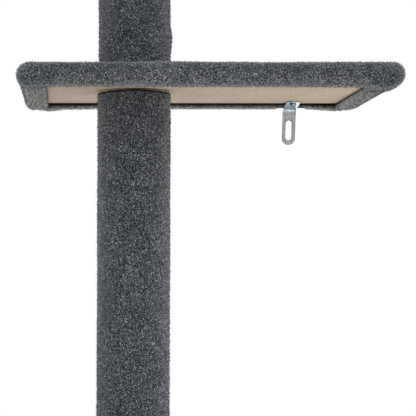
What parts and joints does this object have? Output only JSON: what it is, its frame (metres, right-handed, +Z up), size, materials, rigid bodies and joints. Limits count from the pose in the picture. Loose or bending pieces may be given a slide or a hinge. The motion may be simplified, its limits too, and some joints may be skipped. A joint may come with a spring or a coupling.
{
  "type": "floor-to-ceiling cat tree",
  "caption": "Tall cat tree of carpeted round posts and rectangular shelves, clamped between floor and ceiling by a screw spindle, with a slotted wall bracket.",
  "frame": {"origin": "on the floor under the middle of the base", "axes": "+Z up along the posts, -Y towards the room, +Y towards the wall behind, +X to the right seen from the room"},
  "size_m": [0.6, 0.4, 2.4],
  "materials": {
    "carpet": "short dense dark grey plush, heathered",
    "board": "bare beige fibreboard",
    "cardboard": "wound cardboard tube",
    "plug": "bare wood",
    "zinc": "bright bluish zinc plating",
    "nylon": "black moulded nylon",
    "felt": "pressed grey felt",
    "rubber": "black rubber"
  },
  "bodies": {
    "tree": {"base_board": "board", "base_bolt": "zinc", "base_cover": "carpet", "base_glide_back_left": "felt", "base_glide_back_right": "felt", "base_glide_front_left": "felt", "base_glide_front_right": "felt", "bracket_screw": "zinc", "post_insert_bottom_1": "zinc", "post_insert_bottom_2": "zinc", "post_insert_bottom_3": "zinc", "post_insert_bottom_4": "zinc", "post_insert_bottom_5": "zinc", "post_insert_top_1": "zinc", "post_insert_top_2": "zinc", "post_insert_top_3": "zinc", "post_insert_top_4": "zinc", "post_plug_bottom_1": "plug", "post_plug_bottom_2": "plug", "post_plug_bottom_3": "plug", "post_plug_bottom_4": "plug", "post_plug_bottom_5": "plug", "post_plug_top_1": "plug", "post_plug_top_2": "plug", "post_plug_top_3": "plug", "post_plug_top_4": "plug", "post_plug_top_5": "plug", "post_sleeve_1": "carpet", "post_sleeve_2": "carpet", "post_sleeve_3": "carpet", "post_sleeve_4": "carpet", "post_sleeve_5": "carpet", "post_tube_1": "cardboard", "post_tube_2": "cardboard", "post_tube_3": "cardboard", "post_tube_4": "cardboard", "post_tube_5": "cardboard", "shelf_board_1": "board", "shelf_board_2": "board", "shelf_board_3": "board", "shelf_board_4": "board", "shelf_cover_1": "carpet", "shelf_cover_2": "carpet", "shelf_cover_3": "carpet", "shelf_cover_4": "carpet", "shelf_stud_1": "zinc", "shelf_stud_2": "zinc", "shelf_stud_3": "zinc", "shelf_stud_4": "zinc", "spindle_flange": "zinc"},
    "wall_bracket": {"wall_bracket": "zinc"},
    "lock_washer": {"lock_washer": "zinc"},
    "lock_nut": {"lock_nut": "nylon"},
    "ceiling_head": {"ceiling_socket": "zinc", "socket_screw_1": "zinc", "socket_screw_2": "zinc", "ceiling_board": "board", "ceiling_cover": "carpet", "ceiling_pad": "rubber"},
    "spindle": {"spindle": "zinc"}
  },
  "joints": [
    {"name": "bracket_swivel", "type": "hinge", "parent": "tree", "child": "wall_bracket", "pos_m": [0.203, 0.1485, 1.42814], "axis": [0, 0.0802, 0.9968], "range_deg": [-12, 12]},
    {"name": "washer_lift", "type": "slide", "parent": "tree", "child": "lock_washer", "axis": [0, 0, 1], "range_m": [0, 0.0121]},
    {"name": "lock_nut_turn", "type": "hinge", "parent": "lock_washer", "child": "lock_nut", "pos_m": [0, 0.003, 2.325], "axis": [0, 0, 1], "range_deg": [0, 2160]},
    {"name": "ceiling_lift", "type": "slide", "parent": "tree", "child": "ceiling_head", "axis": [0, 0, 1], "range_m": [0, 0.08]},
    {"name": "spindle_turn", "type": "hinge", "parent": "ceiling_head", "child": "spindle", "pos_m": [0, 0.003, 2.36], "axis": [0, 0, 1], "range_deg": [0, 14420]}
  ],
  "couplings": [
    {"joint": "washer_lift", "follows": "lock_nut_turn", "m_per_rad": 0.00031831},
    {"joint": "spindle_turn", "follows": "ceiling_lift", "rad_per_m": 3141.6}
  ]
}
